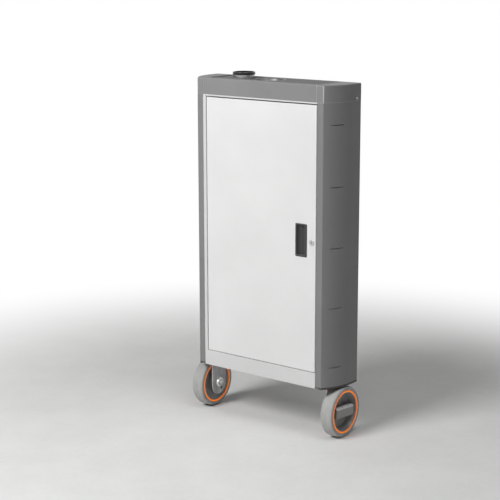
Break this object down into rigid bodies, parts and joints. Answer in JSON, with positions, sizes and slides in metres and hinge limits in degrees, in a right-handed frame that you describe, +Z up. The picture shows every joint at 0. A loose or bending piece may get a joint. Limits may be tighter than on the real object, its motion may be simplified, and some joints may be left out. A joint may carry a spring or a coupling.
{
  "type": "tool chest side locker",
  "caption": "Shallow wheeled side locker for a tool chest: inset hinged door with recessed handle and lock, curved corner posts, moulded cap with can holder and dish.",
  "frame": {"origin": "on the floor, under the middle of the outline in plan", "axes": "+Z up, -Y out of the door's face, +Y towards the tool chest, +X to the right as seen facing the door"},
  "size_m": [0.517, 0.153, 1.034],
  "materials": {
    "carcass_paint": "light grey powder coat, fine texture, satin",
    "door_paint": "light grey powder coat, satin",
    "post_paint": "anthracite powder coat, satin",
    "cap_plastic": "mid grey moulded plastic, fine grain",
    "foot_plastic": "dark moulded plastic",
    "handle_plastic": "dark grey moulded plastic",
    "polished_steel": "polished stainless steel",
    "zinc_steel": "bright zinc-plated steel",
    "chrome": "bright chrome",
    "black_rubber": "matt black rubber",
    "tyre_rubber": "grey non-marking rubber",
    "rim_plastic": "dark grey moulded nylon",
    "accent_orange": "orange moulded ring, satin",
    "rocker_plastic": "grey moulded nylon",
    "bearing_steel": "ground bearing steel"
  },
  "bodies": {
    "root": {"back_panel": "carcass_paint", "side_panel_left": "carcass_paint", "side_panel_right": "carcass_paint", "top_panel": "carcass_paint", "floor_panel": "carcass_paint", "base_plate": "zinc_steel", "base_rail": "carcass_paint", "hinge_stile": "carcass_paint", "lock_stile": "carcass_paint", "catch_magnet": "handle_plastic", "pivot_arms": "zinc_steel", "pivot_pins": "zinc_steel", "shelf_lower": "carcass_paint", "shelf_middle": "carcass_paint", "shelf_upper": "carcass_paint", "shelf_rails": "zinc_steel", "shelf_clips": "zinc_steel", "cap_front": "cap_plastic", "cap_tray": "cap_plastic", "can_cup": "polished_steel", "can_rim": "black_rubber", "parts_dish": "polished_steel", "cap_screws": "zinc_steel", "corner_post_left": "post_paint", "corner_post_right": "post_paint", "post_feet": "foot_plastic", "cap_corner_left": "cap_plastic", "cap_corner_right": "cap_plastic", "caster_bracket_left": "zinc_steel", "caster_bracket_right": "zinc_steel", "caster_fasteners": "zinc_steel", "axle_bolts": "zinc_steel", "axle_spacers": "bearing_steel", "bearing_cores": "bearing_steel", "locating_screws": "zinc_steel", "rocker_carriers": "zinc_steel"},
    "door": {"door_panel": "door_paint", "door_stiffener": "zinc_steel", "handle_cup": "handle_plastic", "lock_housing": "chrome", "lock_nut": "zinc_steel", "catch_plate": "zinc_steel", "door_buffers": "black_rubber", "pivot_bushes": "foot_plastic"},
    "lock": {"lock_plug": "chrome", "lock_cam": "zinc_steel", "cam_screw": "zinc_steel"},
    "wheel_right": {"tyre_right": "tyre_rubber", "rim_right": "rim_plastic", "accent_rings_right": "accent_orange", "bearing_shells_right": "bearing_steel"},
    "brake_right": {"brake_rocker_right": "rocker_plastic", "rocker_pin_right": "bearing_steel"},
    "wheel_left": {"tyre_left": "tyre_rubber", "rim_left": "rim_plastic", "accent_rings_left": "accent_orange", "bearing_shells_left": "bearing_steel"},
    "brake_left": {"brake_rocker_left": "rocker_plastic", "rocker_pin_left": "bearing_steel"}
  },
  "joints": [
    {"name": "door_hinge", "type": "hinge", "parent": "root", "child": "door", "pos_m": [-0.1835, -0.0695, 0.584], "axis": [0, 0, -1], "range_deg": [0, 110]},
    {"name": "lock_turn", "type": "hinge", "parent": "door", "child": "lock", "pos_m": [0.188, -0.0745, 0.577], "axis": [0, -1, 0], "range_deg": [0, 90]},
    {"name": "wheel_right_spin", "type": "hinge", "parent": "root", "child": "wheel_right", "pos_m": [0.2385, 0.0015, 0.075], "axis": [1, 0, 0], "continuous": true},
    {"name": "wheel_left_spin", "type": "hinge", "parent": "root", "child": "wheel_left", "pos_m": [-0.2385, 0.0015, 0.075], "axis": [1, 0, 0], "continuous": true},
    {"name": "brake_right_rock", "type": "hinge", "parent": "root", "child": "brake_right", "pos_m": [0.249, 0.0015, 0.075], "axis": [0, -0.9969, 0.0785], "range_deg": [0, 8]},
    {"name": "brake_left_rock", "type": "hinge", "parent": "root", "child": "brake_left", "pos_m": [-0.249, 0.0015, 0.075], "axis": [0, 0.9969, -0.0785], "range_deg": [0, 8]}
  ]
}
